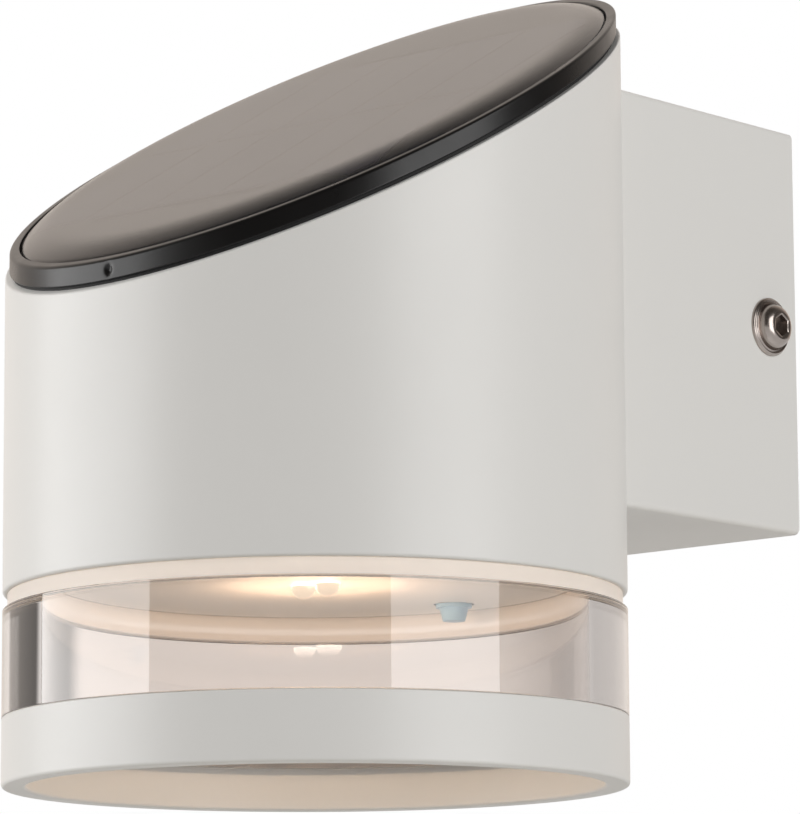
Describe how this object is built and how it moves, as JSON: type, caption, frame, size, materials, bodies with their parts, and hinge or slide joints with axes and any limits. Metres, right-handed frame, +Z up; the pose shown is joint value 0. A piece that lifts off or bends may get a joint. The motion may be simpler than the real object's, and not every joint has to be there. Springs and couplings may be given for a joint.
{
  "type": "solar fence light",
  "caption": "Round white solar wall light with a slanted panel of rolled edge, a thick clear ring that glows near the foot, and a square arm to the wall.",
  "frame": {"origin": "middle of the wall plate's back face, in the wall plane, at half the arm's height", "axes": "+Z up, +Y square into the wall, so that the light stands out along -Y; x = 0 halves the light"},
  "size_m": [0.076, 0.103, 0.1041],
  "materials": {
    "white_paint": "fine matt powder coat",
    "white_plastic": "moulded, slightly translucent",
    "frosted_plastic": "milky, lets the lamps' light through",
    "clear_plastic": "clear, polished",
    "black_plastic": "fine satin",
    "black_rubber": "matt",
    "clear_resin": "clear, gloss",
    "solar_cell": "dark, gloss",
    "tinned_ribbon": "tinned",
    "board": "black solder mask",
    "green_board": "green solder mask",
    "lamp_epoxy": "clear, lit warm white",
    "stainless": "bright",
    "zinc_steel": "zinc plated",
    "blue_plastic": "light blue, gloss",
    "contact_metal": "nickel plated",
    "electronic_black": "moulded",
    "resistor_body": "lacquered",
    "battery_sleeve": "plain green shrink sleeve",
    "lead_red": "insulation"
  },
  "bodies": {
    "housing": {"body_tube": "white_paint", "arm_box": "white_paint", "lower_ring": "white_paint", "arm_screws": "stainless", "arm_nuts": "stainless", "wall_plate": "zinc_steel", "plate_nuts": "zinc_steel", "lamp_deck": "white_plastic", "neck_ring": "frosted_plastic", "deck_screws": "stainless", "clear_ring": "clear_plastic", "lamp_right": "lamp_epoxy", "lamp_left": "lamp_epoxy", "lamp_board": "green_board", "board_screws": "stainless", "lamp_resistors": "resistor_body", "lead_socket": "white_plastic", "switch_body": "electronic_black", "switch_spring": "contact_metal"},
    "solar_head": {"bezel_gasket": "black_rubber", "top_bezel": "black_plastic", "solar_cells": "solar_cell", "cell_ribbons": "tinned_ribbon", "panel_board": "board", "panel_dome": "clear_resin", "head_tray": "black_plastic", "tray_screws": "stainless", "control_board": "green_board", "control_screws": "stainless", "control_parts": "electronic_black", "battery_spring": "contact_metal", "battery_plate": "contact_metal", "lead_plug": "white_plastic", "lamp_leads": "lead_red", "panel_leads": "lead_red"},
    "battery": {"battery": "battery_sleeve"},
    "push_button": {"switch_cap": "blue_plastic", "switch_plunger": "white_plastic"},
    "right_screw": {"side_screw_right": "stainless"},
    "left_screw": {"side_screw_left": "stainless"}
  },
  "joints": [
    {"name": "head_lift", "type": "slide", "parent": "housing", "child": "solar_head", "axis": [0, 0, 1], "range_m": [0, 0.06]},
    {"name": "battery_drop", "type": "slide", "parent": "solar_head", "child": "battery", "axis": [0, 0, -1], "range_m": [0, 0.012]},
    {"name": "button_press", "type": "slide", "parent": "housing", "child": "push_button", "axis": [0, 0, 1], "range_m": [0, 0.0012], "stiffness_N_per_m": 400, "springref_m": -0.001, "deforming": ["switch_spring"]},
    {"name": "right_screw_out", "type": "slide", "parent": "housing", "child": "right_screw", "axis": [1, 0, 0], "range_m": [0, 0.01]},
    {"name": "left_screw_out", "type": "slide", "parent": "housing", "child": "left_screw", "axis": [-1, 0, 0], "range_m": [0, 0.01]}
  ]
}
